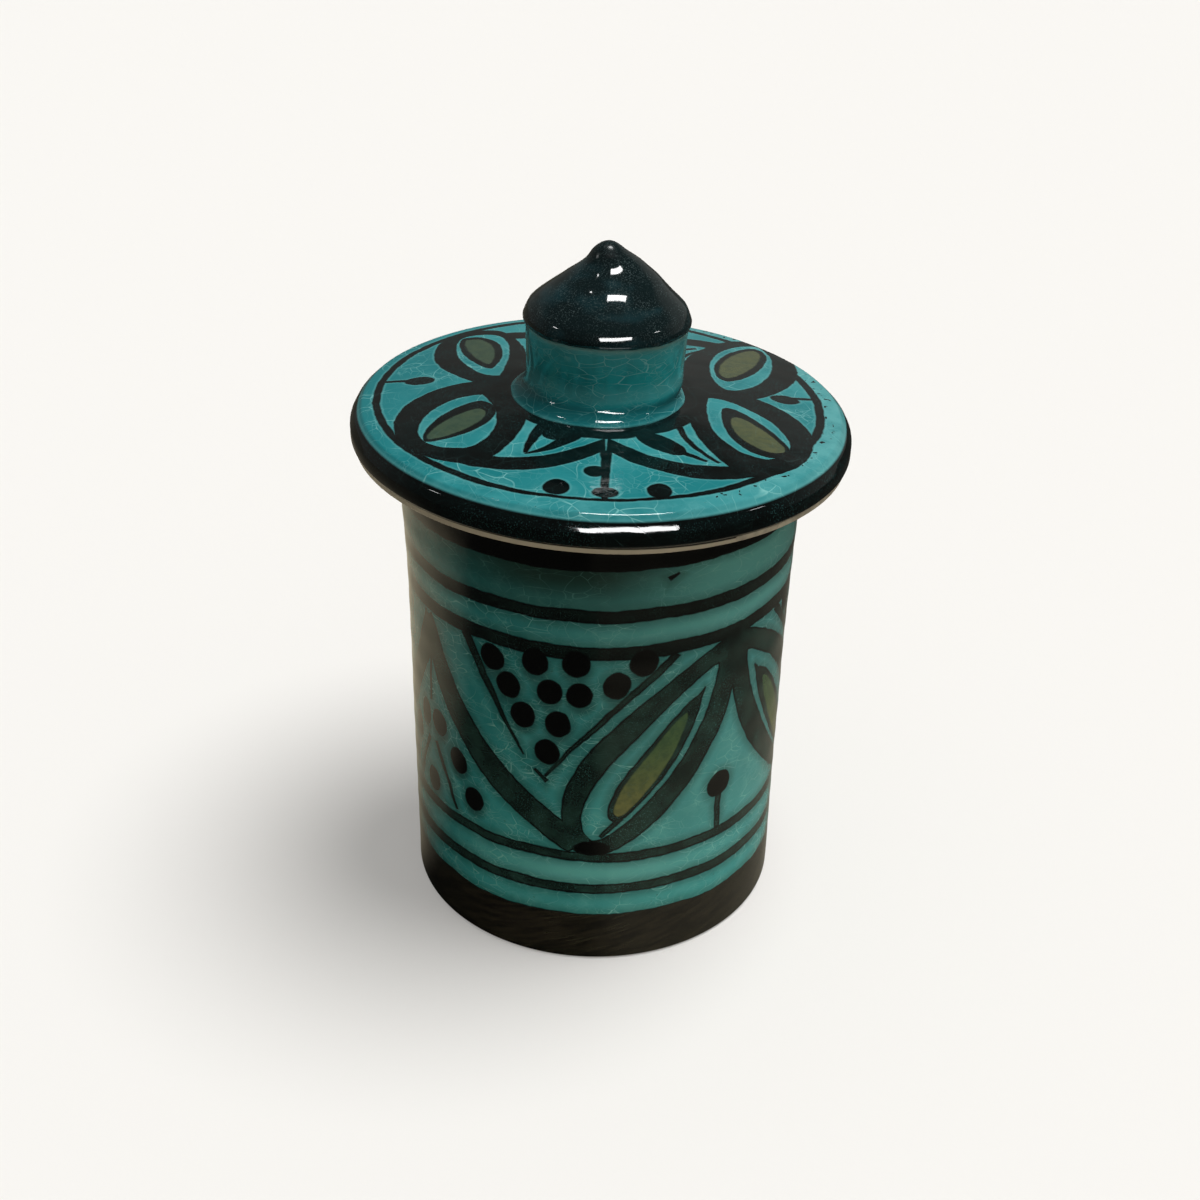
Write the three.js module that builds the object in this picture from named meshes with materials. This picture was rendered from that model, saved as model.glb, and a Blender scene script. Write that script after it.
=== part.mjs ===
// Lidded ceramic spice jar: a thrown jar, a lid plate that drops into its mouth, and a hollow
// pointed knob luted onto the plate. Millimetres, +Z up, origin at the middle of the foot.

import * as THREE from 'three';

// Jar
const JAR_HEIGHT = 94;
const BODY_RADIUS = 36.2;
const LIP_FLARE = 1.5;
const FLARE_HEIGHT = 39;
const WALL = 4.2;
const FLOOR_THICKNESS = 5;
const FLOOR_FILLET = 8;
const FOOT_EDGE_RADIUS = 2;
const FOOT_RING_WIDTH = 7;
const FOOT_RECESS_DEPTH = 1.5;
const LIP_ROUND = 1.2;

// Lid plate
const LID_RADIUS = 45;
const LID_EDGE_THICKNESS = 6;
const LID_RISE = 2.9;
const FLANGE_DEPTH = 8;
const FLANGE_WALL = 4.5;
const FLANGE_CLEARANCE = 0.8;
const FLANGE_END_ROUND = 1.5;
const UNDERSIDE_RECESS = 1.5;
const VENT_RADIUS = 2.5;

// Knob
const NECK_FOOT_RADIUS = 14.1;
const NECK_FILLET = 2.1;
const NECK_HEIGHT = 13.7;
const CAP_RADIUS = 15;
const CAP_HEIGHT = 14.6;
const CAP_SHOULDER = 1.5;
const CAP_POINT = 1.1;
const KNOB_WALL = 4;
const KNOB_ROOF = 6;
const KNOB_SEAT_MARGIN = 0.6;

// Fineness of the turned forms
const TURN_STEPS = 48;
const ROUND_STEPS = 4;
const FLARE_STEPS = 5;
const RIM_STEPS = 10;
const CAP_STEPS = 9;
const HOLLOW_STEPS = 6;

const QUARTER_TURN = Math.PI / 2;

// Glaze colours
const TURQUOISE = 0x2f9c9c;
const TEAL = 0x14585c;
const PAINTED_BLACK = 0x1d2424;
const GLAZE_ROUGHNESS = 0.12;

// Levels that more than one piece uses
const floorLevel = FOOT_RECESS_DEPTH + FLOOR_THICKNESS;
const seatLevel = JAR_HEIGHT;
const rimRadius = LID_EDGE_THICKNESS / 2;
const plateTop = seatLevel + LID_EDGE_THICKNESS + LID_RISE;
const neckFootOuter = NECK_FOOT_RADIUS + NECK_FILLET;

// A point of a turned profile: distance from the axis, then height.
function at(radius, height) {
  return new THREE.Vector2(radius, height);
}

// Points along a circular arc, both ends included; angles run from the outward direction.
function arc(radius, height, size, from, to, steps = ROUND_STEPS) {
  const points = [];
  for (let i = 0; i <= steps; i += 1) {
    const angle = from + ((to - from) * i) / steps;
    points.push(at(radius + size * Math.cos(angle), height + size * Math.sin(angle)));
  }
  return points;
}

// Turns a profile about +Z. Profiles run anticlockwise round the clay, so faces point outwards.
function turned(name, profile, colour) {
  const geometry = new THREE.LatheGeometry(profile, TURN_STEPS);
  geometry.rotateX(QUARTER_TURN);
  const material = new THREE.MeshStandardMaterial({ color: colour, roughness: GLAZE_ROUGHNESS, metalness: 0 });
  const mesh = new THREE.Mesh(geometry, material);
  mesh.name = name;
  return mesh;
}

// Outside radius of the jar: straight from the foot, then opening gently to the lip.
function jarRadius(height) {
  const flare = Math.max(0, (height - (JAR_HEIGHT - FLARE_HEIGHT)) / FLARE_HEIGHT);
  return BODY_RADIUS + LIP_FLARE * flare * flare;
}

// Heights of the flared stretch between its start and the given top.
function flareHeights(top) {
  const start = JAR_HEIGHT - FLARE_HEIGHT;
  return Array.from({ length: FLARE_STEPS + 1 }, (_, i) => start + ((top - start) * i) / FLARE_STEPS);
}

// The jar: foot ring, wall, flat-topped lip, bore and rounded floor.
function jarBody() {
  const ringInner = BODY_RADIUS - FOOT_RING_WIDTH;
  const lipTop = JAR_HEIGHT - LIP_ROUND;
  const lipOuter = jarRadius(lipTop);
  const boreRadius = BODY_RADIUS - WALL;
  const wallHeights = flareHeights(lipTop);
  const profile = [
    at(0, FOOT_RECESS_DEPTH),
    at(ringInner - FOOT_RECESS_DEPTH, FOOT_RECESS_DEPTH),
    at(ringInner, 0),
    ...arc(BODY_RADIUS - FOOT_EDGE_RADIUS, FOOT_EDGE_RADIUS, FOOT_EDGE_RADIUS, -QUARTER_TURN, 0),
    ...wallHeights.slice(0, -1).map((height) => at(jarRadius(height), height)),
    ...arc(lipOuter - LIP_ROUND, lipTop, LIP_ROUND, 0, QUARTER_TURN),
    ...arc(lipOuter - WALL + LIP_ROUND, lipTop, LIP_ROUND, QUARTER_TURN, 2 * QUARTER_TURN),
    ...wallHeights.slice(0, -1).reverse().map((height) => at(jarRadius(height) - WALL, height)),
    ...arc(boreRadius - FLOOR_FILLET, floorLevel + FLOOR_FILLET, FLOOR_FILLET, 0, -QUARTER_TURN),
    at(0, floorLevel),
  ];
  return turned('jar_body', profile, TURQUOISE);
}

// The lid plate: rounded rim, low crown with a flat seat for the knob, a vent through the middle
// for the knob's hollow, and a flange that drops into the jar's bore.
function lidPlate() {
  const flangeEnd = seatLevel - FLANGE_DEPTH;
  const flangeOuter = jarRadius(flangeEnd) - WALL - FLANGE_CLEARANCE;
  const flangeInner = flangeOuter - FLANGE_WALL;
  const endLevel = flangeEnd + FLANGE_END_ROUND;
  const recessTop = seatLevel + UNDERSIDE_RECESS;
  const rimCentre = LID_RADIUS - rimRadius;
  const profile = [
    at(VENT_RADIUS, recessTop),
    at(flangeInner, recessTop),
    ...arc(flangeInner + FLANGE_END_ROUND, endLevel, FLANGE_END_ROUND, 2 * QUARTER_TURN, 3 * QUARTER_TURN),
    ...arc(flangeOuter - FLANGE_END_ROUND, endLevel, FLANGE_END_ROUND, -QUARTER_TURN, 0),
    at(flangeOuter, seatLevel),
    ...arc(rimCentre, seatLevel + rimRadius, rimRadius, -QUARTER_TURN, QUARTER_TURN, RIM_STEPS),
    at(neckFootOuter + KNOB_SEAT_MARGIN, plateTop),
    at(VENT_RADIUS, plateTop),
    at(VENT_RADIUS, recessTop),
  ];
  return turned('lid_plate', profile, PAINTED_BLACK);
}

// The knob: a neck that spreads at its foot and at the cap's edge, a cap drawn up to a point, and a
// hollow that is open underneath, over the plate's vent.
function lidKnob() {
  const capEdge = plateTop + NECK_HEIGHT;
  const hollowRadius = NECK_FOOT_RADIUS - KNOB_WALL;
  const hollowHeight = CAP_HEIGHT - KNOB_ROOF;
  const hollow = arc(0, 0, 1, QUARTER_TURN, 0, HOLLOW_STEPS).map(
    (unit) => at(hollowRadius * unit.x, capEdge + hollowHeight * unit.y),
  );
  hollow[0].x = 0;
  const cap = Array.from({ length: CAP_STEPS + 1 }, (_, i) => {
    const rise = i / CAP_STEPS;
    const radius = CAP_RADIUS * (1 - rise ** CAP_SHOULDER) ** CAP_POINT;
    return at(radius, capEdge + CAP_HEIGHT * rise);
  });
  const filletTop = plateTop + NECK_FILLET;
  const profile = [
    ...hollow,
    at(hollowRadius, plateTop),
    ...arc(neckFootOuter, filletTop, NECK_FILLET, -QUARTER_TURN, -2 * QUARTER_TURN),
    ...cap,
  ];
  return turned('lid_knob', profile, TEAL);
}

const spiceJar = new THREE.Group();
spiceJar.name = 'spice_jar';
spiceJar.add(jarBody(), lidPlate(), lidKnob());

export default spiceJar;
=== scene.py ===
"""Lidded ceramic spice jar: turquoise crackle glaze over black brush decoration."""

import math
from typing import NamedTuple

import bmesh
import bpy
from bpy.props import FloatProperty, FloatVectorProperty, PointerProperty
from mathutils import Matrix, Quaternion, Vector, noise


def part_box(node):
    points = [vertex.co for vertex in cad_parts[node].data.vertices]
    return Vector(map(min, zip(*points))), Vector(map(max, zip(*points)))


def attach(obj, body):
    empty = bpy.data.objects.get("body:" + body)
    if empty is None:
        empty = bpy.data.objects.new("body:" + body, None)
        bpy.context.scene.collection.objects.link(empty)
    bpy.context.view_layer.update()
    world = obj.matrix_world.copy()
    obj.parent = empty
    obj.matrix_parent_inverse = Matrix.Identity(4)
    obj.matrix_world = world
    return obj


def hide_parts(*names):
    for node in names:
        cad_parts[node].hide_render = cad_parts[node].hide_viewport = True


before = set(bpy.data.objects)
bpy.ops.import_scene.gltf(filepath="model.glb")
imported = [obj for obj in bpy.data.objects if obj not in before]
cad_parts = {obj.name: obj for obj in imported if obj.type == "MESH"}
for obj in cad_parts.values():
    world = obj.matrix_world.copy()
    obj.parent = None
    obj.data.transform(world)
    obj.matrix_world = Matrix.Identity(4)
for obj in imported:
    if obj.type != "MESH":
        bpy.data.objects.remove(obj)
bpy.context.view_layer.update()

bl_info = {
    "name": "Painted Spice Jar",
    "version": (1, 0, 0),
    "blender": (4, 5, 0),
    "location": "View3D > Sidebar > Spice Jar",
    "description": "Models a thrown, painted and crackle-glazed spice jar with its lid",
    "category": "Add Mesh",
}

JAR_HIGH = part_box("jar_body")[1]
LID_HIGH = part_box("lid_plate")[1]
KNOB_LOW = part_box("lid_knob")[0]

MM = 0.001
FULL_TURN = 2 * math.pi
BODY_RADIUS = 36.2
LEAN = math.tan(math.radians(1.39))


# Sizes and colours a user would change

def length(name, description, default):
    """A size in metres, shown in the scene's units."""
    return FloatProperty(name=name, description=description, default=default, min=0.0, unit="LENGTH")


def colour(name, description, default):
    """A linear colour with a picker."""
    return FloatVectorProperty(
        name=name, description=description, default=default, size=3, min=0.0, max=1.0, subtype="COLOR")


class SpiceJarSizes(bpy.types.PropertyGroup):
    """Main sizes of the thrown clay."""
    jar_height: length("Jar height", "Foot to lip", JAR_HIGH[2])
    body_radius: length("Body radius", "Outside of the straight wall", BODY_RADIUS * MM)
    lip_flare: length("Lip flare", "How far the wall opens at the lip", 0.0015)
    wall: length("Wall", "Thickness of the jar's wall", 0.0042)
    lid_radius: length("Lid radius", "Middle to rim", LID_HIGH[0])
    plate_top: length("Plate top", "Height of the knob's seat", KNOB_LOW[2])
    neck_radius: length("Neck radius", "Waist of the knob's neck", 0.0141)
    waver: length("Waver", "How far thrown surfaces stray from true", 0.00022)


class SpiceJarColours(bpy.types.PropertyGroup):
    """Glazes, pigments and clay."""
    turquoise: colour("Turquoise", "Glaze of ordinary thickness", (0.030, 0.260, 0.275))
    pale: colour("Pale turquoise", "Thin and worn glaze", (0.120, 0.410, 0.410))
    deep: colour("Deep turquoise", "Thick glaze", (0.010, 0.180, 0.195))
    black: colour("Brush black", "Thick black pigment", (0.0020, 0.0026, 0.0026))
    thin_black: colour("Thin black", "Black pigment brushed thinly on the jar", (0.014, 0.042, 0.036))
    craze: colour("Craze", "Crackle lines that catch the light", (0.220, 0.540, 0.520))
    charcoal: colour("Charcoal", "Black pigment brushed thickly on the lid", (0.0024, 0.0062, 0.0062))
    umber: colour("Umber", "Brown-black brushed round the foot", (0.0200, 0.0185, 0.0125))
    jar_green: colour("Jar green", "Leaf core on the jar", (0.060, 0.120, 0.050))
    jar_ochre: colour("Jar ochre", "Warm end of the jar's leaf core", (0.150, 0.160, 0.055))
    lid_green: colour("Lid green", "Leaf cores on the lid", (0.045, 0.078, 0.048))
    lid_ochre: colour("Lid ochre", "Warm leaf cores on the lid", (0.088, 0.100, 0.045))
    teal: colour("Teal", "Neck of the knob", (0.020, 0.330, 0.340))
    cap: colour("Blue-black", "Cap of the knob", (0.0045, 0.0115, 0.0125))
    cap_blue: colour("Cap blue", "Thin patches on the cap of the knob", (0.0100, 0.0400, 0.0480))
    cap_grain: colour("Cap grain", "Fine grains on the cap of the knob", (0.0700, 0.1000, 0.1000))
    clay: colour("Clay", "Bare fired clay", (0.520, 0.480, 0.390))


class SpiceJarStage(bpy.types.PropertyGroup):
    """Floor and light."""
    floor: colour("Floor", "Pale floor", (0.864, 0.849, 0.819))
    bounce: colour("Bounce", "Floor's colour in the light that it gives back", (0.800, 0.700, 0.530))
    glow: FloatProperty(name="Glow", description="Part of the floor's paleness that no shadow dims",
                        default=0.27, min=0.0, max=1.0)
    key: FloatProperty(name="Key", description="Strength of the soft key light", default=2.7, min=0.0)
    sky: FloatProperty(name="Sky", description="Strength of the light from above", default=0.55, min=0.0)


# Outlines and turned forms, in millimetres from the axis and from the floor

TURN_STEPS = 192
ARC_STEPS = 7
LONGEST_EDGE = 1.4
MERGE_WITHIN = 0.01
AXIS_FADE = 10.0
STRAY_ROUND = 0.9
STRAY_UP = 0.022
FINE_STRAY = 0.4
FINE_STRAY_SCALE = 3.1


def rounded(corners):
    """Outline through (radius, height, rounding) corners, with an arc at each rounded one."""
    points = []
    for index, (radius, height, rounding) in enumerate(corners):
        here = Vector((radius, height))
        if rounding <= 0 or index in (0, len(corners) - 1):
            points.append(here)
            continue
        back = (Vector(corners[index - 1][:2]) - here).normalized()
        ahead = (Vector(corners[index + 1][:2]) - here).normalized()
        half = back.angle(ahead) / 2
        centre = here + (back + ahead).normalized() * (rounding / math.sin(half))
        start = here + back * (rounding / math.tan(half)) - centre
        swing = start.angle_signed(here + ahead * (rounding / math.tan(half)) - centre)
        steps = max(2, math.ceil(ARC_STEPS * abs(swing) / (math.pi / 2)))
        points += [centre + Matrix.Rotation(-swing * step / steps, 2) @ start for step in range(steps + 1)]
    return points


def turned_form(outline, closed=False):
    """Spins an outline about the jar's axis into a closed clay form."""
    bm = bmesh.new()
    verts = [bm.verts.new((radius * MM, 0, height * MM)) for radius, height in outline]
    pairs = list(zip(verts, verts[1:]))
    if closed:
        pairs.append((verts[-1], verts[0]))
    for pair in pairs:
        bm.edges.new(pair)
    for edge in bm.edges[:]:
        cuts = math.ceil(edge.calc_length() / (LONGEST_EDGE * MM)) - 1
        if cuts > 0:
            bmesh.ops.subdivide_edges(bm, edges=[edge], cuts=cuts)
    bmesh.ops.spin(
        bm, geom=bm.verts[:] + bm.edges[:], cent=(0, 0, 0), axis=(0, 0, 1),
        angle=FULL_TURN, steps=TURN_STEPS, use_merge=True, use_duplicate=False)
    bmesh.ops.remove_doubles(bm, verts=bm.verts, dist=MERGE_WITHIN * MM)
    bmesh.ops.recalc_face_normals(bm, faces=bm.faces)
    return bm


def shape_by_hand(bm, move):
    """Moves every point by what move gives for its radius, angle and height in millimetres."""
    for vert in bm.verts:
        radius = math.hypot(vert.co.x, vert.co.y) / MM
        angle = math.atan2(vert.co.x, -vert.co.y)
        vert.co += Vector(move(radius, angle, vert.co.z / MM)) * MM


def stray(radius, angle, height, seed):
    """Smooth wander from -1 to 1 over a thrown surface, fading out at the axis."""
    spot = Vector((math.sin(angle) * STRAY_ROUND, -math.cos(angle) * STRAY_ROUND, height * STRAY_UP + seed))
    fade = min(1.0, radius / AXIS_FADE)
    return fade * (noise.noise(spot) + FINE_STRAY * noise.noise(spot * FINE_STRAY_SCALE))


def step_between(value, low, high):
    """Smooth step from 0 at low to 1 at high."""
    part = min(1.0, max(0.0, (value - low) / (high - low)))
    return part * part * (3 - 2 * part)


def finish_piece(bm, name, materials, pick, body, node):
    """Turns a form into a piece, with a material for each face, and puts it in the frame."""
    for face in bm.faces:
        face.smooth = True
        middle = face.calc_center_median()
        face.material_index = pick(math.hypot(middle.x, middle.y) / MM, middle.z / MM, face.normal)
    mesh = bpy.data.meshes.new(name)
    bm.to_mesh(mesh)
    bm.free()
    for material in materials:
        mesh.materials.append(material)
    piece = bpy.data.objects.new(name, mesh)
    bpy.context.scene.collection.objects.link(piece)
    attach(piece, body)
    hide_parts(node)


# Building blocks for materials. A span is where a ramp starts and ends, then what it gives there

NOISE_COLOUR = 1
MIX_INPUTS = (0, 6, 7)
MIX_COLOUR = 2


class Patches(NamedTuple):
    """Patches of noise: how many to a millimetre, the span that shows them, and their roughness."""
    scale: float
    span: tuple
    detail: float = 1.0
    rough: float = 0.5


class Nodes:
    """Short calls for a material's node tree."""

    def __init__(self, tree):
        self.tree = tree

    def feed(self, socket, value):
        if isinstance(value, bpy.types.NodeSocket):
            self.tree.links.new(value, socket)
        elif socket.type == "RGBA" and len(value) == 3:
            socket.default_value = (*value, 1.0)
        else:
            socket.default_value = value

    def add(self, kind, inputs=None, **settings):
        """A new node with its named inputs fed."""
        node = self.tree.nodes.new(kind)
        for name, value in settings.items():
            setattr(node, name, value)
        for name, value in (inputs or {}).items():
            self.feed(node.inputs[name], value)
        return node

    def put(self, kind, *values, **settings):
        """The first output of a new node whose inputs are fed in order."""
        node = self.add(kind, **settings)
        for socket, value in zip(node.inputs, values):
            self.feed(socket, value)
        return node.outputs[0]

    def math(self, operation, *values, clamp=False):
        return self.put("ShaderNodeMath", *values, operation=operation, use_clamp=clamp)

    def fold(self, operation, first, *others):
        for value in others:
            first = self.math(operation, first, value)
        return first

    def times(self, *values):
        return self.fold("MULTIPLY", *values)

    def most(self, *values):
        return self.fold("MAXIMUM", *values)

    def wrap(self, value, middle, half):
        return self.math("WRAP", self.math("SUBTRACT", value, middle), half, -half)

    def vector(self, operation, *values):
        node = self.add("ShaderNodeVectorMath", operation=operation)
        for socket, value in zip(node.inputs, values):
            self.feed(socket, value)
        single = operation in ("LENGTH", "DISTANCE", "DOT_PRODUCT")
        return node.outputs["Value" if single else "Vector"]

    def scaled(self, vector, factor):
        node = self.add("ShaderNodeVectorMath", {"Scale": factor}, operation="SCALE")
        self.feed(node.inputs[0], vector)
        return node.outputs["Vector"]

    def ramp(self, value, start, end, low=0.0, high=1.0):
        return self.put("ShaderNodeMapRange", value, start, end, low, high, interpolation_type="SMOOTHSTEP")

    def ramps(self, axes, spans):
        """A ramp for each span, along the axis that it names first."""
        return [self.ramp(axes[axis], *span) for axis, *span in spans]

    def blend(self, factor, first, second):
        node = self.add("ShaderNodeMix", data_type="RGBA", blend_type="MIX")
        for index, value in zip(MIX_INPUTS, (factor, first, second)):
            self.feed(node.inputs[index], value)
        return node.outputs[MIX_COLOUR]

    def noise(self, place, scale, detail=1.0, rough=0.5, output=0):
        inputs = {"Vector": place, "Scale": scale, "Detail": detail, "Roughness": rough}
        return self.add("ShaderNodeTexNoise", inputs).outputs[output]

    def patches(self, place, kind, size=1.0):
        """Soft patches, for a pattern of the given size."""
        return self.ramp(self.noise(place, kind.scale / size, kind.detail, kind.rough), *kind.span)

    def split(self, vector):
        return self.add("ShaderNodeSeparateXYZ", {"Vector": vector}).outputs

    def join(self, x, y, z=0.0):
        return self.put("ShaderNodeCombineXYZ", x, y, z)

    def place(self):
        """The piece's own coordinates in millimetres."""
        return self.scaled(self.add("ShaderNodeTexCoord").outputs["Object"], 1 / MM)

    def wander(self, place, scale, reach, detail=1.0):
        """A vector that strays up to about reach."""
        spread = self.noise(place, scale, detail, output=NOISE_COLOUR)
        return self.scaled(self.vector("SUBTRACT", spread, (0.5, 0.5, 0.5)), 2 * reach)

    def shaken(self, place, *wanders):
        """The place as an unsteady hand finds it."""
        found = place
        for scale, reach in wanders:
            found = self.vector("ADD", found, self.wander(place, scale, reach))
        return found


def new_material(name):
    """An empty material and its nodes."""
    material = bpy.data.materials.new(name)
    material.use_nodes = True
    material.node_tree.nodes.clear()
    return material, Nodes(material.node_tree)


GLAZE_IOR = 1.5


def surface(nodes, height, relief, inputs):
    """Output with the given shader inputs, and relief in millimetres from a height."""
    bump = nodes.add("ShaderNodeBump", {"Strength": 1.0, "Distance": relief * MM, "Height": height})
    shader = nodes.add("ShaderNodeBsdfPrincipled", {**inputs, "Normal": bump.outputs[0]})
    nodes.add("ShaderNodeOutputMaterial", {"Surface": shader.outputs[0]})


# Brush marks: each gives the distance to its edge, below zero inside the mark

MARK_SOCKETS = (("Point", "Vector"), ("Start", "Vector"), ("Along", "Vector"), ("Across", "Vector"),
                ("Length", "Float"))
ARCH_HEIGHT = 4.0


def brush_group(name, sockets):
    """An empty brush mark group with the given inputs and a distance output."""
    tree = bpy.data.node_groups.new(name, "ShaderNodeTree")
    for label, kind in sockets:
        tree.interface.new_socket(label, in_out="INPUT", socket_type="NodeSocket" + kind)
    tree.interface.new_socket("Distance", in_out="OUTPUT", socket_type="NodeSocketFloat")
    nodes = Nodes(tree)
    return tree, nodes, nodes.add("NodeGroupInput").outputs


def mark_frame(nodes, given):
    """Distance across a mark, the part of its length covered, the part left, and distance past its ends."""
    reach = nodes.vector("SUBTRACT", given["Point"], given["Start"])
    along = nodes.vector("DOT_PRODUCT", reach, given["Along"])
    across = nodes.vector("DOT_PRODUCT", reach, given["Across"])
    part = nodes.math("DIVIDE", along, given["Length"], clamp=True)
    ends = nodes.most(nodes.times(along, -1.0), nodes.math("SUBTRACT", along, given["Length"]))
    return across, part, nodes.math("SUBTRACT", 1.0, part), ends


def leaf_group():
    """A leaf that swells on each side of the line from its root to its tip."""
    sides = ("Left", "Right")
    tree, nodes, given = brush_group("brush_leaf", MARK_SOCKETS + tuple(
        (side + shape, "Float") for side in sides for shape in ("", " Root", " Tip")))
    across, part, rest, near = mark_frame(nodes, given)
    for side, sign in zip(sides, (1.0, -1.0)):
        edge = nodes.times(nodes.math("POWER", part, given[side + " Root"]),
                           nodes.math("POWER", rest, given[side + " Tip"]), given[side])
        near = nodes.most(near, nodes.math("SUBTRACT", nodes.times(across, sign), edge))
    nodes.add("NodeGroupOutput", {"Distance": near})
    return tree


def line_group():
    """A brush line with a bow, and its own half width at each end."""
    tree, nodes, given = brush_group("brush_line", MARK_SOCKETS + (
        ("Bow", "Float"), ("First", "Float"), ("Last", "Float")))
    across, part, rest, ends = mark_frame(nodes, given)
    bow = nodes.times(part, rest, ARCH_HEIGHT, given["Bow"])
    off = nodes.math("ABSOLUTE", nodes.math("SUBTRACT", across, bow))
    taper = nodes.math("SUBTRACT", given["Last"], given["First"])
    half = nodes.math("MULTIPLY_ADD", part, taper, given["First"])
    nodes.add("NodeGroupOutput", {"Distance": nodes.most(nodes.math("SUBTRACT", off, half), ends)})
    return tree


def dot_group():
    """A dab of the brush: an upright ellipse."""
    tree, nodes, given = brush_group("brush_dot", (
        ("Point", "Vector"), ("Centre", "Vector"), ("Half", "Vector"), ("Size", "Float")))
    reach = nodes.vector("SUBTRACT", given["Point"], given["Centre"])
    out = nodes.vector("LENGTH", nodes.vector("MULTIPLY", reach, given["Half"]))
    nodes.add("NodeGroupOutput", {"Distance": nodes.times(nodes.math("SUBTRACT", out, 1.0), given["Size"])})
    return tree


class Brush:
    """Puts brush marks on a flat point, keeping the nearest distance so far."""

    groups = {}

    def __init__(self, nodes):
        self.nodes = nodes
        self.near = None

    def group(self, make, inputs):
        if make not in self.groups:
            self.groups[make] = make()
        return self.nodes.add("ShaderNodeGroup", inputs, node_tree=self.groups[make]).outputs[0]

    def join(self, *distances):
        for distance in distances:
            self.near = distance if self.near is None else self.nodes.math("MINIMUM", self.near, distance)

    def cut(self, distance):
        self.near = self.nodes.most(self.near, self.nodes.times(distance, -1.0))

    def run(self, point, start, end):
        start, end = Vector((*start, 0)), Vector((*end, 0))
        along = (end - start).normalized()
        return {"Point": point, "Start": start, "Along": along,
                "Across": Vector((-along.y, along.x, 0)), "Length": (end - start).length}

    def leaf(self, point, root, tip, left, right):
        """Each side is how far it swells, and how full it is at the root and the tip (low is full)."""
        inputs = self.run(point, root, tip)
        for side, (swell, low, high) in (("Left", left), ("Right", right)):
            peak = (low / (low + high)) ** low * (high / (low + high)) ** high
            inputs.update({side: swell / peak, side + " Root": low, side + " Tip": high})
        return self.group(leaf_group, inputs)

    def line(self, point, start, end, first, last, bow=0.0):
        inputs = self.run(point, start, end)
        return self.group(line_group, {**inputs, "Bow": bow, "First": first, "Last": last})

    def dot(self, point, centre, half):
        wide, tall = half
        return self.group(dot_group, {"Point": point, "Centre": (*centre, 0),
                                      "Half": (1 / wide, 1 / tall, 0), "Size": min(half)})

    def band(self, value, middle, half):
        off = self.nodes.math("ABSOLUTE", self.nodes.math("SUBTRACT", value, middle))
        return self.nodes.math("SUBTRACT", off, half)

    def strokes(self, point, *rows):
        self.join(*(self.line(point, *row) for row in rows))

    def dots(self, point, *rows):
        self.join(*(self.dot(point, *row) for row in rows))


# Shared parts of the glazes: crackle lines
CELL_BEND = 0.8
CELL_BEND_SCALE = 0.5
BROKEN_LINES = Patches(0.8, (0.38, 0.56, 0.15, 1.0))
FINE_LINES = Patches(0.6, (0.42, 0.66, 0.0, 0.6))
FINE_SIZE = 0.45
FINE_WIDTH = 0.8

# Turquoise
DRIFT = Patches(0.05, (0.35, 0.65), 2.0)
CLOUD = Patches(0.22, (0.40, 0.75, 0.0, 0.34), 4.0, 0.6)
SPECKS = Patches(1.5, (0.71, 0.79, 0.0, 0.5))

# Pigment, leaf cores and the crackle over them
INK_GRAINS = Patches(4.0, (0.56, 0.74), 1.0, 0.6)
INK_EDGE = (-0.15, -0.6)
INK_COVER = (0.2, -0.2)
CORE_COVER = (0.25, -0.25)
CORE_MOTTLE = Patches(0.7, (0.35, 0.7, 0.0, 0.35), 3.0, 0.6)
CRAZED = Patches(0.11, (0.36, 0.64, 0.22, 0.80))
CRAZED_INK = (0.0, 1.0, 1.0, 0.05)

# Relief and gloss
RIPPLE_SCALE = 0.14
PEEL_SCALE = 1.1
PEEL_HEIGHT = 0.02
CRACK_HEIGHT = -0.015
GLAZE_RELIEF = 0.12
GLAZE_GLOSS = Patches(0.5, (0.3, 0.7, 0.03, 0.08), 2.0)

# Inside of the jar
INSIDE_CRACKLE = (4.4, 0.11)
INSIDE_CRAZE = 0.4

# Bare clay
CLAY_SPOTS = Patches(0.35, (0.35, 0.7), 4.0, 0.6)
CLAY_DARK = 0.55
GRIT_SCALE = 2.2
GRIT_DETAIL = 2.0
GRIT_SPAN = (0.62, 0.75, 0.0, 0.5)
GRIT_HEIGHT = 0.5
TURNING_SCALE = 1.2
CLAY_ROUGHNESS = 0.85
CLAY_RELIEF = 0.2


def crackle(nodes, place, size, width):
    """Fine crackle lines, 1 on a line: long, gently bent cells of about the given size."""
    bent = nodes.vector("ADD", place, nodes.wander(place, CELL_BEND_SCALE / size, CELL_BEND * size, 0.0))
    cells = nodes.add("ShaderNodeTexVoronoi", {"Vector": bent, "Scale": 1 / size},
                      feature="DISTANCE_TO_EDGE")
    return nodes.ramp(cells.outputs["Distance"], 0.0, width / size, 1.0, 0.0)


def crackle_net(nodes, place, size, width):
    """Strong crackle with a finer, fainter net between, that comes and goes."""
    strong = nodes.times(crackle(nodes, place, size, width), nodes.patches(place, BROKEN_LINES, size))
    fine = nodes.times(crackle(nodes, place, FINE_SIZE * size, FINE_WIDTH * width),
                       nodes.patches(place, FINE_LINES, size))
    return nodes.most(strong, fine)


def glaze_tone(nodes, place, shades):
    """Turquoise that drifts between thick and thin, with small dark specks."""
    tone = nodes.blend(nodes.patches(place, DRIFT), shades.deep, shades.turquoise)
    tone = nodes.blend(nodes.patches(place, CLOUD), tone, shades.pale)
    return nodes.blend(nodes.patches(place, SPECKS), tone, shades.thin_black)


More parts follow.
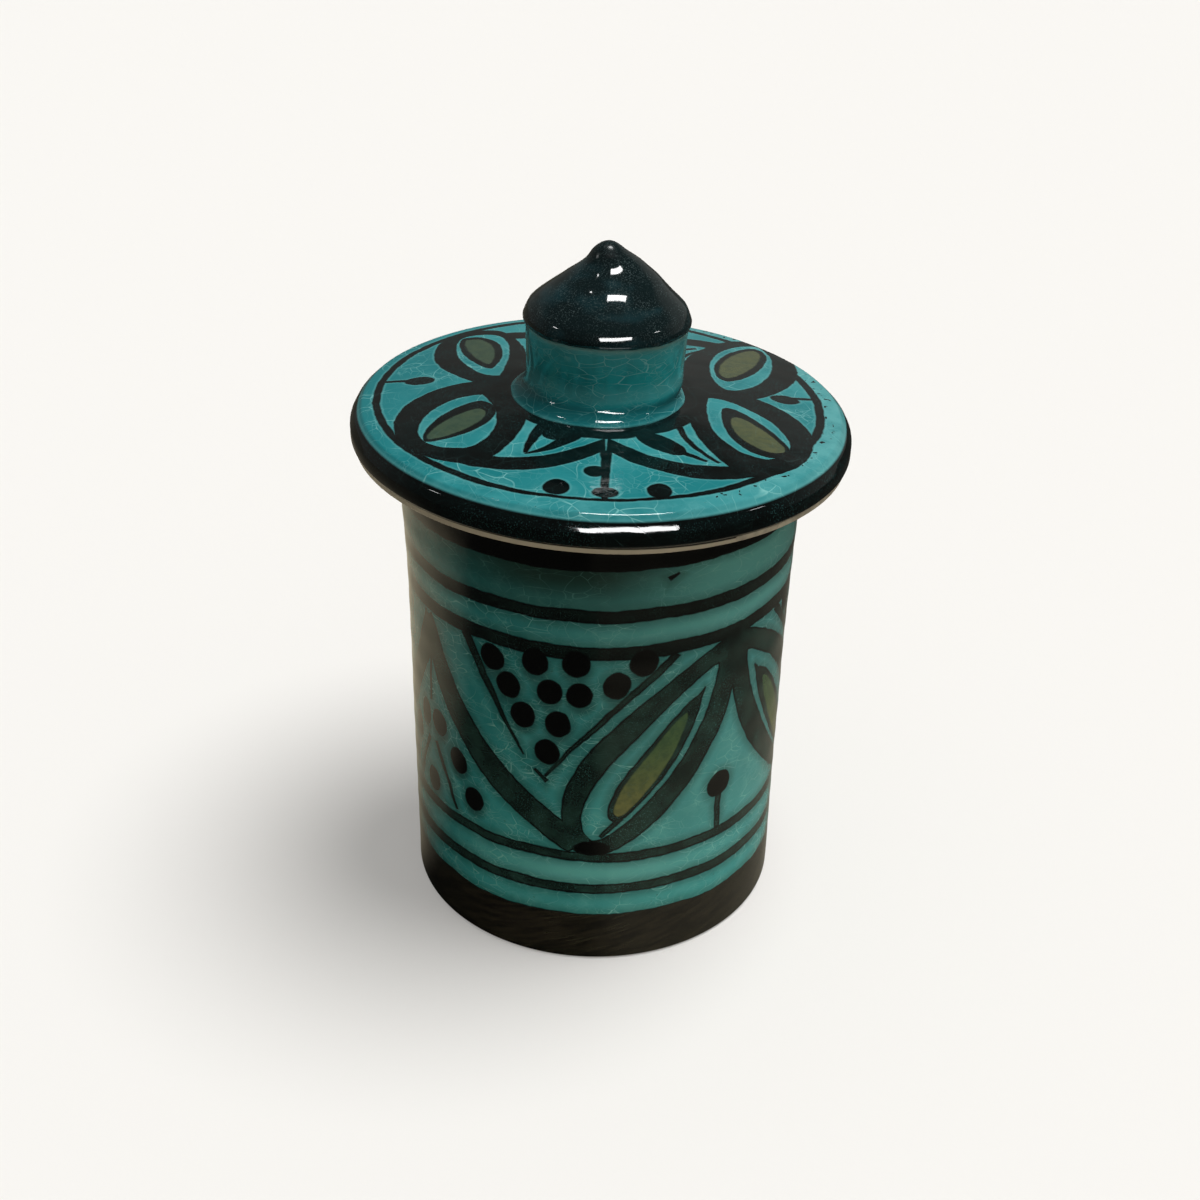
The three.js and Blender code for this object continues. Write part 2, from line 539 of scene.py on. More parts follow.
def ink_tone(nodes, place, shades, black, pigment, density, grain):
    """Pigment of uneven density with a dark brushed edge, and patches of fine pale grains."""
    ink = nodes.blend(nodes.patches(place, density), shades.black, pigment)
    grains = nodes.times(nodes.patches(place, INK_GRAINS), nodes.patches(place, grain))
    ink = nodes.blend(grains, ink, shades.pale)
    return nodes.blend(nodes.ramp(black, *INK_EDGE), shades.black, ink)


def painted_glaze(nodes, place, shades, tone, black, core, fill, ink, cracks):
    """Base colour of decorated glaze: black brushwork and coloured cores on a ground, and crackle."""
    cover = nodes.ramp(black, *INK_COVER)
    tone = nodes.blend(cover, tone, ink)
    fill = nodes.blend(nodes.patches(place, CORE_MOTTLE), fill, shades.thin_black)
    tone = nodes.blend(nodes.ramp(core, *CORE_COVER), tone, fill)
    shown = nodes.times(cracks, nodes.patches(place, CRAZED), nodes.ramp(cover, *CRAZED_INK))
    return nodes.blend(shown, tone, shades.craze)


def glaze_surface(nodes, place, base, lines):
    """Glassy, faintly rippled surface with crackle just felt."""
    height = nodes.math("MULTIPLY_ADD", nodes.noise(place, PEEL_SCALE), PEEL_HEIGHT,
                        nodes.noise(place, RIPPLE_SCALE))
    height = nodes.math("MULTIPLY_ADD", lines, CRACK_HEIGHT, height)
    gloss = nodes.patches(place, GLAZE_GLOSS)
    surface(nodes, height, GLAZE_RELIEF, {"Base Color": base, "Roughness": gloss, "IOR": GLAZE_IOR})


def inside_glaze(shades):
    """Undecorated turquoise crackle glaze for the inside of the jar."""
    material, nodes = new_material("jar_inside_glaze")
    place = nodes.place()
    lines = crackle_net(nodes, place, *INSIDE_CRACKLE)
    base = nodes.blend(nodes.times(lines, INSIDE_CRAZE), glaze_tone(nodes, place, shades), shades.craze)
    glaze_surface(nodes, place, base, lines)
    return material


def bare_clay(shades):
    """Unglazed cream clay with fine grit and turning marks, made once for all the pieces."""
    known = bpy.data.materials.get("bare_clay")
    if known:
        return known
    material, nodes = new_material("bare_clay")
    place = nodes.place()
    grit = nodes.noise(place, GRIT_SCALE, GRIT_DETAIL)
    dark = tuple(CLAY_DARK * part for part in shades.clay)
    tone = nodes.blend(nodes.patches(place, CLAY_SPOTS), shades.clay, dark)
    tone = nodes.blend(nodes.ramp(grit, *GRIT_SPAN), tone, dark)
    x, y, z = nodes.split(place)
    rings = nodes.noise(nodes.join(nodes.vector("LENGTH", nodes.join(x, y)), z), TURNING_SCALE)
    height = nodes.math("MULTIPLY_ADD", grit, GRIT_HEIGHT, rings)
    surface(nodes, height, CLAY_RELIEF, {"Base Color": tone, "Roughness": CLAY_ROUGHNESS})
    return material


# Jar decoration: degrees round from the front, then height

ARC_PER_DEGREE = math.radians(BODY_RADIUS)


def on_wall(degrees, height):
    """Flat place of a mark on the jar's unrolled wall."""
    return degrees * ARC_PER_DEGREE, height


HALF_WAY = 180.0 * ARC_PER_DEGREE
LEAF_MIRROR = 42.5 * ARC_PER_DEGREE
STROKE_MIRROR = -58.0 * ARC_PER_DEGREE
PIN_PLACE = 40.0 * ARC_PER_DEGREE
JAR_SHAKE = ((0.07, 0.7), (0.45, 0.22))
TOP_BAND = 86.0
BASE_BAND = 11.0
JAR_BANDS = ((76.95, 1.35), (69.5, 1.4), (24.85, 1.15), (17.3, 1.2))

# Strokes: start and end, the half width at each, and the bow
JAR_SWEEP = (on_wall(-59.5, 66.0), on_wall(-4.0, 27.5), 2.95, 2.9, -3.8)
JAR_STROKES = (
    (on_wall(8.0, 33.6), on_wall(2.0, 29.6), 0.7, 0.45),
    (on_wall(30.0, 56.5), on_wall(32.6, 59.4), 0.8, 0.2),
    (on_wall(22.2, 68.3), on_wall(-14.8, 42.3), 0.95, 0.35, -0.6),
    (on_wall(-39.9, 68.6), on_wall(-20.8, 46.0), 1.2, 0.22),
    (on_wall(-17.9, 43.5), on_wall(-13.9, 41.2), 0.3, 0.55),
    (on_wall(-55.7, 39.3), on_wall(-45.2, 26.8), 0.6, 0.35),
    (on_wall(-58.0, 61.0), on_wall(-58.0, 48.0), 0.6, 0.4),
)
JAR_FLICK = (on_wall(19.0, 83.7), on_wall(21.8, 84.7), 0.45, 0.2)
JAR_PIN = ((0.0, 36.0), (0.4, 25.8), 0.85, 0.75)

# Dabs: centre, and half its width and height
JAR_PIN_HEAD = ((0.0, 36.0), (2.7, 2.8))
JAR_SWEEP_FOOT = (on_wall(-0.5, 27.0), (3.6, 1.7))
JAR_DOTS = ((-30.4, 65.2), (-17.0, 66.7), (-5.5, 67.3), (12.9, 67.3), (-25.4, 60.4), (-12.6, 60.8),
            (-4.0, 60.6), (6.1, 63.0), (-20.7, 54.9), (-10.2, 54.0), (-13.8, 47.7),
            (-44.4, 38.8), (-38.2, 31.7), (-53.5, 44.3), (-58.0, 30.0))
JAR_DOT_HALF = (2.4, 2.7)
SMEAR_DROP = 1.7

# Leaves: root and tip, then the swell of each side and its fullness at root and tip
JAR_LEAF = (on_wall(-3.2, 25.0), on_wall(43.5, 70.0), (12.05, 0.5, 0.9), (9.41, 0.7, 0.75))
JAR_LEAF_INSIDE = (on_wall(-0.5, 29.0), on_wall(36.4, 63.3), (6.37, 0.4, 0.75), (4.7, 0.65, 0.75))
JAR_LEAF_HEART = (on_wall(5.4, 32.8), on_wall(31.3, 58.0), (3.67, 0.4, 0.6), (3.07, 0.5, 0.6))
JAR_LEAF_FILL = (on_wall(6.8, 34.0), on_wall(26.9, 54.8), (2.4, 0.4, 0.6), (2.1, 0.5, 0.6))

# Where the glaze is thin it is paler, black bleeds from the lip and marks blur; painted light and shade are
# mixed in: paler toward the lit right side and the front of the low bands, darker under the lid's overhang
# Pale wash: partly thin glaze, partly painted light, lighter toward the lit right side and at the front of
# the low bands
THIN_GLAZE_AND_LIGHT = (
    (("height", 70.0, 71.5), ("x", -20.0, 24.0, 0.15, 1.0)),
    (("height", 24.0, 25.5), ("height", 71.0, 69.5), ("x", -26.0, 22.0, 0.08, 0.48)),
    (("height", 24.5, 23.0), ("height", 16.0, 18.5, 0.24, 0.72),
     ("x", -30.0, -4.0, 0.1, 1.0), ("x", 8.0, 30.0, 1.0, 0.35)),
)
# Black bleeding from the lip, and painted shade under the lid's overhang: darkest at the front, fading
# toward the lit right side
LIP_BLEED_AND_SHADE = (("height", 74.0, 85.0), ("x", -2.0, 24.0, 1.0, 0.1), ("x", -32.0, -10.0, 0.45, 1.0))
# Crackle fades where the bleed and the painted shade darken the glaze
BLEED_AND_SHADE_HIDE_CRACKLE = (0.0, 0.5, 1.0, 0.3)
JAR_HALO = (0.0, 2.3, 0.42, 0.0)
JAR_INK = Patches(0.22, (0.35, 0.7, 0.35, 1.0), 3.0)
JAR_GRAIN = Patches(0.09, (0.38, 0.66, 0.0, 0.22))
# Blacker ink on the upper bands: thicker pigment, and painted shade under the lid's overhang
THICK_INK_AND_SHADE = (66.0, 69.0, 0.0, 0.65)
WARM_CORE = (52.0, 33.0)
SMEAR_COVER = (1.0, -1.2, 0.0, 0.5)
JAR_CRACKLE = (3.8, 0.095)
JAR_CRACKLE_STRETCH = (1.0, 1.0, 1.8)

# Slanting brush streaks round the foot
STREAK_RUN = 0.15
STREAK_FALL = -0.5
STREAK_RISE = 1.5
FOOT_STREAKS = Patches(1.0, (0.32, 0.68, 0.2, 1.0), 3.0, 0.6)
FOOT_COVER = (BASE_BAND + 0.1, BASE_BAND - 0.6)


def unrolled(nodes, x, y, height):
    """Distance round the jar from its front, and a flat point that folds the frieze to go right round."""
    arc = nodes.times(nodes.math("ARCTAN2", x, nodes.times(y, -1.0)), BODY_RADIUS)
    gone = nodes.wrap(arc, LEAF_MIRROR, HALF_WAY)
    fold = nodes.math("SUBTRACT", LEAF_MIRROR, nodes.math("ABSOLUTE", gone))
    shown = LEAF_MIRROR - STROKE_MIRROR
    stretch = shown / (HALF_WAY - shown)
    far = nodes.math("MULTIPLY_ADD", fold, -stretch, STROKE_MIRROR * (1 + stretch))
    return arc, nodes.join(nodes.most(fold, far), height)


def paint_jar(nodes, x, y, height):
    """Distances to the jar's strokes, its thick dabs, their smears and the leaf's core."""
    arc, point = unrolled(nodes, x, y, height)
    pin = nodes.join(nodes.wrap(arc, PIN_PLACE, HALF_WAY / 2), height)
    brush, dabs, smears = Brush(nodes), Brush(nodes), Brush(nodes)
    brush.join(nodes.math("SUBTRACT", height, BASE_BAND))
    brush.join(*(brush.band(height, *band) for band in JAR_BANDS))
    brush.strokes(point, JAR_SWEEP)
    brush.join(brush.leaf(point, *JAR_LEAF))
    brush.cut(brush.leaf(point, *JAR_LEAF_INSIDE))
    brush.join(brush.leaf(point, *JAR_LEAF_HEART))
    brush.strokes(point, *JAR_STROKES)
    brush.strokes(pin, JAR_PIN)
    dabs.join(nodes.math("SUBTRACT", TOP_BAND, height))
    dabs.strokes(nodes.join(arc, height), JAR_FLICK)
    dabs.dots(point, JAR_SWEEP_FOOT)
    dabs.dots(pin, JAR_PIN_HEAD)
    for degrees, up in JAR_DOTS:
        dabs.dots(point, (on_wall(degrees, up), JAR_DOT_HALF))
        smears.dots(point, (on_wall(degrees, up - SMEAR_DROP), JAR_DOT_HALF))
    return brush.near, dabs.near, smears.near, brush.leaf(point, *JAR_LEAF_FILL)


def jar_glaze(shades):
    """Painted glaze of the jar: bands, leaf frieze, dots and pins."""
    material, nodes = new_material("jar_painted_glaze")
    place = nodes.place()
    x, y, height = nodes.split(nodes.shaken(place, *JAR_SHAKE))
    axes = {"x": x, "height": height}
    strokes, dabs, smears, core = paint_jar(nodes, x, y, height)
    black = nodes.math("MINIMUM", strokes, dabs)
    # Paler where the glaze is thin, with painted light toward the lit right side
    thin_and_lit = nodes.most(*(nodes.times(*nodes.ramps(axes, spans)) for spans in THIN_GLAZE_AND_LIGHT))
    tone = nodes.blend(thin_and_lit, glaze_tone(nodes, place, shades), shades.pale)
    tone = nodes.blend(nodes.ramp(black, *JAR_HALO), tone, shades.thin_black)
    # Black bleed from the lip and painted shade under the lid's overhang
    bleed_and_shade = nodes.times(*nodes.ramps(axes, LIP_BLEED_AND_SHADE))
    tone = nodes.blend(bleed_and_shade, tone, shades.thin_black)
    ink = ink_tone(nodes, place, shades, black, shades.thin_black, JAR_INK, JAR_GRAIN)
    # Upper bands blacker: thicker ink and painted shade under the lid
    ink = nodes.blend(nodes.ramp(height, *THICK_INK_AND_SHADE), ink, shades.black)
    fill = nodes.blend(nodes.ramp(height, *WARM_CORE), shades.jar_green, shades.jar_ochre)
    cracks = crackle_net(nodes, nodes.vector("MULTIPLY", place, JAR_CRACKLE_STRETCH), *JAR_CRACKLE)
    seen = nodes.times(cracks, nodes.ramp(bleed_and_shade, *BLEED_AND_SHADE_HIDE_CRACKLE))
    base = painted_glaze(nodes, place, shades, tone, black, core, fill, ink, seen)
    slant = nodes.math("MULTIPLY_ADD", x, STREAK_FALL, nodes.times(height, STREAK_RISE))
    brushed = nodes.join(nodes.times(x, STREAK_RUN), nodes.times(y, STREAK_RUN), slant)
    foot = nodes.blend(nodes.patches(brushed, FOOT_STREAKS), shades.black, shades.umber)
    base = nodes.blend(nodes.ramp(height, *FOOT_COVER), base, foot)
    base = nodes.blend(nodes.ramp(smears, *SMEAR_COVER), base, shades.thin_black)
    base = nodes.blend(nodes.ramp(dabs, *INK_COVER), base, shades.black)
    glaze_surface(nodes, place, base, cracks)
    return material


# Lid decoration, seen from above: right, then back

LID_SHAKE = ((0.08, 0.5), (0.5, 0.2))
LEFT_FRONT_LEAF = (
    ((-17.4, 3.1), (-22.4, -29.0), (6.8, 0.5, 0.5), (16.3, 0.5, 0.5)),
    ((-21.4, -3.3), (-23.3, -23.6), (4.1, 0.9, 0.6), (9.0, 0.5, 0.35)),
    ((-21.4, -5.6), (-30.1, -20.8), (5.9, 0.5, 0.75), (3.05, 0.7, 0.7)),
    ((-21.5, -8.9), (-29.6, -19.9), (3.3, 0.5, 0.75), (2.05, 0.6, 0.6)),
)
RIGHT_FRONT_LEAF = (
    ((17.6, 2.4), (26.1, -28.6), (15.2, 0.5, 0.5), (6.0, 0.5, 0.5)),
    ((19.1, -1.1), (28.6, -22.2), (7.3, 0.6, 0.4), (4.9, 0.95, 0.68)),
    ((21.4, -4.6), (31.9, -20.8), (3.3, 0.4, 0.4), (5.4, 0.8, 0.45)),
    ((22.9, -8.1), (31.5, -19.1), (2.1, 0.4, 0.5), (3.6, 0.65, 0.45)),
)
LEFT_BACK_LEAF = (
    ((-18.5, 0.3), (-22.4, 32.4), (11.5, 0.7, 0.5), (6.0, 0.5, 0.5)),
    ((-19.0, 5.4), (-23.5, 29.2), (6.2, 0.5, 0.3), (4.1, 1.0, 0.4)),
    ((-20.6, 9.2), (-26.9, 27.3), (2.8, 0.6, 0.5), (5.2, 0.8, 0.4)),
    ((-21.2, 11.6), (-26.6, 26.0), (1.5, 0.6, 0.6), (3.6, 0.8, 0.35)),
)
RIGHT_BACK_LEAF = (
    ((17.6, -0.4), (29.7, 32.8), (8.0, 0.5, 0.5), (12.9, 0.5, 0.5)),
    ((22.9, 3.9), (29.9, 29.9), (6.1, 0.65, 0.55), (5.6, 0.6, 0.65)),
    ((22.7, 8.1), (29.9, 28.6), (4.5, 0.55, 0.6), (4.0, 0.6, 0.5)),
    ((22.9, 9.9), (29.4, 27.3), (3.1, 0.5, 0.6), (2.6, 0.6, 0.45)),
)
LID_LEAVES = (LEFT_FRONT_LEAF, RIGHT_FRONT_LEAF, LEFT_BACK_LEAF, RIGHT_BACK_LEAF)

# Marks on the front of the lid, mirrored to its back, and the pins at its sides
LID_STROKES = (
    ((0.6, -22.0), (-29.5, -23.0), 2.2, 2.1, 6.3),
    ((0.8, -21.8), (31.5, -23.0), 2.2, 2.2, -6.2),
    ((-9.6, -15.5), (-12.7, -25.2), 1.5, 0.45, -0.5),
    ((-4.5, -18.5), (-12.9, -25.5), 1.8, 0.2, 1.0),
    ((13.0, -22.3), (17.9, -25.0), 0.8, 0.4),
    ((13.3, -13.5), (20.0, -25.2), 0.75, 0.4, -1.08),
    ((0.8, -24.0), (0.8, -39.5), 1.0, 0.6),
)
LID_DOTS = (
    ((-0.5, -18.0), (7.0, 2.3)), ((-7.6, -18.6), (2.7, 2.5)), ((-1.0, -30.8), (1.9, 1.7)),
    ((0.8, -37.2), (2.2, 1.6)), ((-7.2, -36.0), (2.2, 2.4)), ((9.7, -35.8), (2.1, 2.4)),
)
LID_SMALL_LEAF = ((6.0, -17.6), (14.3, -23.2), (2.5, 0.4, 0.4), (2.2, 0.4, 0.4))
SIDE_PINS = (((-39.9, 4.9), (-34.5, 4.7), 0.5, 0.6), ((34.8, 3.9), (39.4, 4.9), 0.6, 0.5))
SIDE_PIN_HEADS = (((-33.3, 4.4), (2.8, 1.9)), ((33.4, 2.9), (2.7, 1.9)))

# Rings round the lid, its black rim and its bare lower edge
RING_CENTRE = (-0.6, 0.6, 0.0)
RING_RADIUS = 40.0
RING_HALF = (("y", -28.0, -8.0, 0.42, 0.75), ("x", 5.0, 30.0, 0.42, 0.85), ("x", -4.0, -22.0, 0.42, 0.75))
NECK_CENTRE = (0.4, 0.0, 0.0)
NECK_RING = 19.4
RIM_BLACK = 99.25
RIM_WIDE_SIDE = (-0.87, -0.5, 0.0)
RIM_WIDENS = (20.0, 42.0, 0.0, 0.20)
WORN_SCALE = 0.9
WORN_SHARE = 0.66
WORN_STEEPNESS = 9.0
WORN_FROM = 16.0
WORN_BAND = (41.8, 1.0)
RIM_CLAY = 94.6
RIM_CLAY_COVER = (RIM_CLAY - 0.12, RIM_CLAY + 0.12, 1.0, 0.0)
RIM_CLAY_RISES = (-25.0, 30.0, -0.1, 0.15)

# Tones of the lid
WARM_SCALE = 0.2
WARM_DETAIL = 2.0
WARM_REACH = 30.0
WARM_SPAN = (-20.0, 50.0)
# Painted shade: deeper turquoise toward the lid's left, the side away from the key light
DEEP_SHADED_LEFT = (-26.0, -40.0, 0.0, 0.9)
POOLED_GLAZE = (("ring", 40.4, 39.6), ("y", -22.0, -32.0), ("x", -8.0, 14.0, 0.25, 0.8))
# Pale glaze near the rim: partly thin glaze, partly painted light, paler toward the lit right side and less
# at the front
PALE_EDGE_AND_LIGHT = (("ring", 40.4, 41.0), ("x", -28.0, 30.0, 0.0, 0.75), ("y", -38.0, -14.0, 0.45, 1.0))
PALE_EDGE_AND_LIGHT_PATCHES = Patches(0.3, (0.3, 0.65, 0.45, 1.0), 3.0, 0.6)
LID_HALO = (0.0, 0.55, 0.45, 0.0)
LID_INK = Patches(0.22, (0.35, 0.7, 0.2, 1.0), 3.0)
LID_GRAIN = Patches(0.09, (0.38, 0.66, 0.0, 0.13))
LID_CRACKLE = (4.6, 0.10)


def paint_lid(nodes, place, axes, level):
    """Distances to the lid's brushwork and to the cores of its leaves."""
    x, y = axes["x"], axes["y"]
    point = nodes.join(x, y)
    front = nodes.join(x, nodes.times(nodes.math("ABSOLUTE", y), -1.0))
    brush, cores = Brush(nodes), Brush(nodes)
    widening = nodes.ramp(nodes.vector("DOT_PRODUCT", point, RIM_WIDE_SIDE), *RIM_WIDENS)
    brush.join(nodes.math("SUBTRACT", level, nodes.math("ADD", RIM_BLACK, widening)))
    brush.join(nodes.math("SUBTRACT", nodes.vector("DISTANCE", point, NECK_CENTRE), NECK_RING))
    brush.join(brush.band(axes["ring"], RING_RADIUS, nodes.most(*nodes.ramps(axes, RING_HALF))))
    worn = nodes.math("SUBTRACT", WORN_SHARE, nodes.noise(place, WORN_SCALE))
    brush.join(nodes.most(nodes.times(worn, WORN_STEEPNESS), nodes.math("SUBTRACT", WORN_FROM, x),
                          brush.band(axes["ring"], *WORN_BAND)))
    brush.join(*(brush.leaf(point, *leaf) for leaf, *_ in LID_LEAVES))
    brush.strokes(front, *LID_STROKES)
    brush.dots(front, *LID_DOTS)
    brush.join(brush.leaf(front, *LID_SMALL_LEAF))
    brush.strokes(point, *SIDE_PINS)
    brush.dots(point, *SIDE_PIN_HEADS)
    for _, inside, heart, fill in LID_LEAVES:
        brush.cut(brush.leaf(point, *inside))
        brush.join(brush.leaf(point, *heart))
        cores.join(brush.leaf(point, *fill))
    return brush.near, cores.near


def lid_glaze(shades):
    """Painted glaze of the lid: leaves, arcs, dots and pins, black rim and bare lower edge."""
    material, nodes = new_material("lid_painted_glaze")
    place = nodes.place()
    x, y, _ = nodes.split(nodes.shaken(place, *LID_SHAKE))
    level = nodes.math("MULTIPLY_ADD", x, LEAN, nodes.split(place)["Z"])
    axes = {"x": x, "y": y, "ring": nodes.vector("DISTANCE", nodes.join(x, y), RING_CENTRE)}
    black, cores = paint_lid(nodes, place, axes, level)
    # Painted shade on the lid's left, away from the key light
    tone = nodes.blend(nodes.ramp(x, *DEEP_SHADED_LEFT), glaze_tone(nodes, place, shades), shades.deep)
    tone = nodes.blend(nodes.times(*nodes.ramps(axes, POOLED_GLAZE)), tone, shades.deep)
    # Thin glaze near the rim, with painted light toward the lit right side
    edge = nodes.times(*nodes.ramps(axes, PALE_EDGE_AND_LIGHT), nodes.patches(place, PALE_EDGE_AND_LIGHT_PATCHES))
    tone = nodes.blend(edge, tone, shades.pale)
    tone = nodes.blend(nodes.ramp(black, *LID_HALO), tone, shades.pale)
    warmth = nodes.math("MULTIPLY_ADD", nodes.noise(place, WARM_SCALE, WARM_DETAIL), WARM_REACH, x)
    fill = nodes.blend(nodes.ramp(warmth, *WARM_SPAN), shades.lid_green, shades.lid_ochre)
    ink = ink_tone(nodes, place, shades, black, shades.charcoal, LID_INK, LID_GRAIN)
    cracks = crackle_net(nodes, place, *LID_CRACKLE)
    base = painted_glaze(nodes, place, shades, tone, black, cores, fill, ink, cracks)
    bare = nodes.math("ADD", level, nodes.ramp(x, *RIM_CLAY_RISES))
    base = nodes.blend(nodes.ramp(bare, *RIM_CLAY_COVER), base, shades.clay)
    glaze_surface(nodes, place, base, cracks)
    return material


# Knob's glaze, by height

CAP_LINE = 116.4
FLARE_LINE = 105.8
KNOB_SHAKE = (0.25, 0.35)
NECK_CLOUD = Patches(0.16, (0.45, 0.8), 3.0)
NECK_WASHES = (
    ("pale", (110.0, 116.0, 0.0, 0.38)),
    ("pale", (FLARE_LINE, FLARE_LINE + 1.0), (FLARE_LINE + 4.5, FLARE_LINE + 1.8, 0.0, 0.4)),
    ("deep", (FLARE_LINE + 0.8, FLARE_LINE - 0.8, 0.0, 0.9)),
    ("black", (FLARE_LINE + 0.2, FLARE_LINE - 1.0, 0.0, 0.32)),
    ("pale", (103.4, 102.9, 0.0, 0.35)),
)
WORN_EDGE = (
    ("craze", (CAP_LINE - 1.8, CAP_LINE - 0.3, 0.0, 0.55)),
    ("clay", (CAP_LINE - 1.0, CAP_LINE - 0.1, 0.0, 0.42)),
)
NECK_CRACKLE = (4.4, 0.12)
NECK_CRACKLE_STRETCH = (1.0, 1.0, 2.2)
NECK_CRAZE = (FLARE_LINE - 1.0, FLARE_LINE + 0.6, 0.45, 0.95)
NECK_CRACK_HEIGHT = (CAP_LINE, CAP_LINE - 0.3, 0.0, -0.04)
CAP_COVER = (CAP_LINE - 0.15, CAP_LINE + 0.15)
CAP_STRETCH = (1.0, 1.0, 2.0)
CAP_PATCHES = Patches(0.11, (0.45, 0.7, 0.0, 0.8), 2.0)
CAP_GRAINS = Patches(3.6, (0.50, 0.72), 2.0, 0.7)
CAP_GRAIN_PATCHES = Patches(0.2, (0.35, 0.65, 0.25, 0.85))
KNOB_RIPPLE_SCALE = 0.15
KNOB_RELIEF = 0.1
TIP_GLOSS = (127.6, 129.0, 0.06, 0.25)


def washed(nodes, tone, shades, value, washes):
    """A tone under washes of other shades, each as far as the value is through its spans."""
    for shade, *spans in washes:
        cover = nodes.times(*(nodes.ramp(value, *span) for span in spans))
        tone = nodes.blend(cover, tone, getattr(shades, shade))
    return tone


def knob_glaze(shades):
    """Teal crackle neck with a pale worn edge, and a speckled blue-black cap."""
    material, nodes = new_material("knob_glaze")
    place = nodes.place()
    x, _, z = nodes.split(nodes.shaken(place, KNOB_SHAKE))
    level = nodes.math("MULTIPLY_ADD", x, LEAN, z)
    neck = nodes.blend(nodes.patches(place, NECK_CLOUD), shades.teal, shades.deep)
    neck = washed(nodes, neck, shades, level, NECK_WASHES)
    lines = crackle_net(nodes, nodes.vector("MULTIPLY", place, NECK_CRACKLE_STRETCH), *NECK_CRACKLE)
    neck = nodes.blend(nodes.times(lines, nodes.ramp(level, *NECK_CRAZE)), neck, shades.craze)
    neck = washed(nodes, neck, shades, level, WORN_EDGE)
    patches = nodes.patches(nodes.vector("MULTIPLY", place, CAP_STRETCH), CAP_PATCHES)
    cap = nodes.blend(patches, shades.cap, shades.cap_blue)
    grains = nodes.times(nodes.patches(place, CAP_GRAINS), nodes.patches(place, CAP_GRAIN_PATCHES))
    cap = nodes.blend(grains, cap, shades.cap_grain)
    base = nodes.blend(nodes.ramp(level, *CAP_COVER), neck, cap)
    felt = nodes.times(lines, nodes.ramp(level, *NECK_CRACK_HEIGHT))
    height = nodes.math("ADD", felt, nodes.noise(place, KNOB_RIPPLE_SCALE))
    gloss = nodes.ramp(z, *TIP_GLOSS)
    surface(nodes, height, KNOB_RELIEF, {"Base Color": base, "Roughness": gloss, "IOR": GLAZE_IOR})
    return material


# Pieces: lengths beside the driving sizes, in millimetres

def outward(out, angle):
    """Shift away from the axis, to the right and back."""
    return out * math.sin(angle), -out * math.cos(angle)


# Jar: lip, wall, foot and bore, then its throwing rings and where its clay is bare
LIP_GAP = 0.1
FLARE_START = 55.0
WALL_START = 12.0
WALL_STEP = 2.0
WALL_STEPS = 40
FOOT_WIDTH = 7.0
FOOT_TOP = 10.0
RECESS_TOP = 1.9
LIP_DEPTH = 2.2
LIP_ROUND = 1.3
BORE_FOOT = 16.0
FLOOR_TOP = 6.3
FLOOR_SIDE = 6.5
FLOOR_ROUND = 8.0
BELOW_FLOOR = 4.0
THROWING_PITCH = 6.5
THROWING_INSIDE = 0.14
THROWING_OUTSIDE = 0.03
THROWING_STARTS = (4.0, 14.0)
THROWING_ENDS = (1.0, 6.0)
TRUE_FOOT = (0.0, 6.0)
JAR_SEED = 0.0
STANDING_EDGE = 0.15
STANDING_NORMAL = -0.9
BARE_LIP = 0.6
LIP_NORMAL = 0.6


class SPICEJAR_OT_jar(bpy.types.Operator):
    """Throw the jar: foot ring, wall, lip, bore and floor"""
    bl_idname = "spice_jar.jar"
    bl_label = "Jar"

    def execute(self, context):
        size = context.scene.spice_jar_sizes
        tones = context.scene.spice_jar_colours
        body, wall, waver = size.body_radius / MM, size.wall / MM, size.waver / MM
        flare, top = size.lip_flare / MM, size.jar_height / MM - LIP_GAP
        ring = body - FOOT_WIDTH
        bore = body - wall
        glazed, inside, bare = range(3)

        def outer(height):
            open_part = max(0.0, (height - FLARE_START) / (top - FLARE_START))
            return body + flare * open_part ** 2

        lip = outer(top)
        heights = [WALL_START + WALL_STEP * step for step in range(WALL_STEPS)]
        outline = rounded([
            (0, RECESS_TOP, 0), (ring - 1.6, RECESS_TOP - 0.4, 1.2), (ring, 0, 0.6), (body, 0, 0.8),
            (body, FOOT_TOP, 0)])
        outline += [Vector((outer(height), height)) for height in heights]
        outline += rounded([
            (lip, top - LIP_DEPTH, 0), (lip, top, LIP_ROUND),
            (lip - wall, top, LIP_ROUND), (lip - wall, top - LIP_DEPTH, 0)])
        outline += [Vector((outer(height) - wall, height)) for height in reversed(heights)
                    if height > BORE_FOOT + WALL_STEP]
        outline += rounded([(bore, BORE_FOOT, 0), (bore, FLOOR_SIDE, FLOOR_ROUND), (0, FLOOR_TOP, 0)])
        bm = turned_form(outline)

        def move(radius, angle, height):
            in_bore = radius < body - wall / 2 and height > BELOW_FLOOR
            rings = math.sin(height * FULL_TURN / THROWING_PITCH + angle)
            rings *= THROWING_INSIDE if in_bore else THROWING_OUTSIDE
            rings *= min(1.0, radius / AXIS_FADE)
            rings *= step_between(height, *THROWING_STARTS) * step_between(top - height, *THROWING_ENDS)
            out = waver * stray(radius, angle, height, JAR_SEED) * step_between(height, *TRUE_FOOT) + rings
            return *outward(out, angle), 0.0

        def pick(radius, height, normal):
            standing = height < STANDING_EDGE and normal.z < STANDING_NORMAL
            recess = radius < ring and height < BELOW_FLOOR
            on_lip = height > top - BARE_LIP and normal.z > LIP_NORMAL
            if standing or recess or on_lip:
                return bare
            return inside if radius < outer(height) - wall / 2 else glazed

        shape_by_hand(bm, move)
        finish_piece(bm, "jar", [jar_glaze(tones), inside_glaze(tones), bare_clay(tones)],
                     pick, "jar", "jar_body")
        return {"FINISHED"}


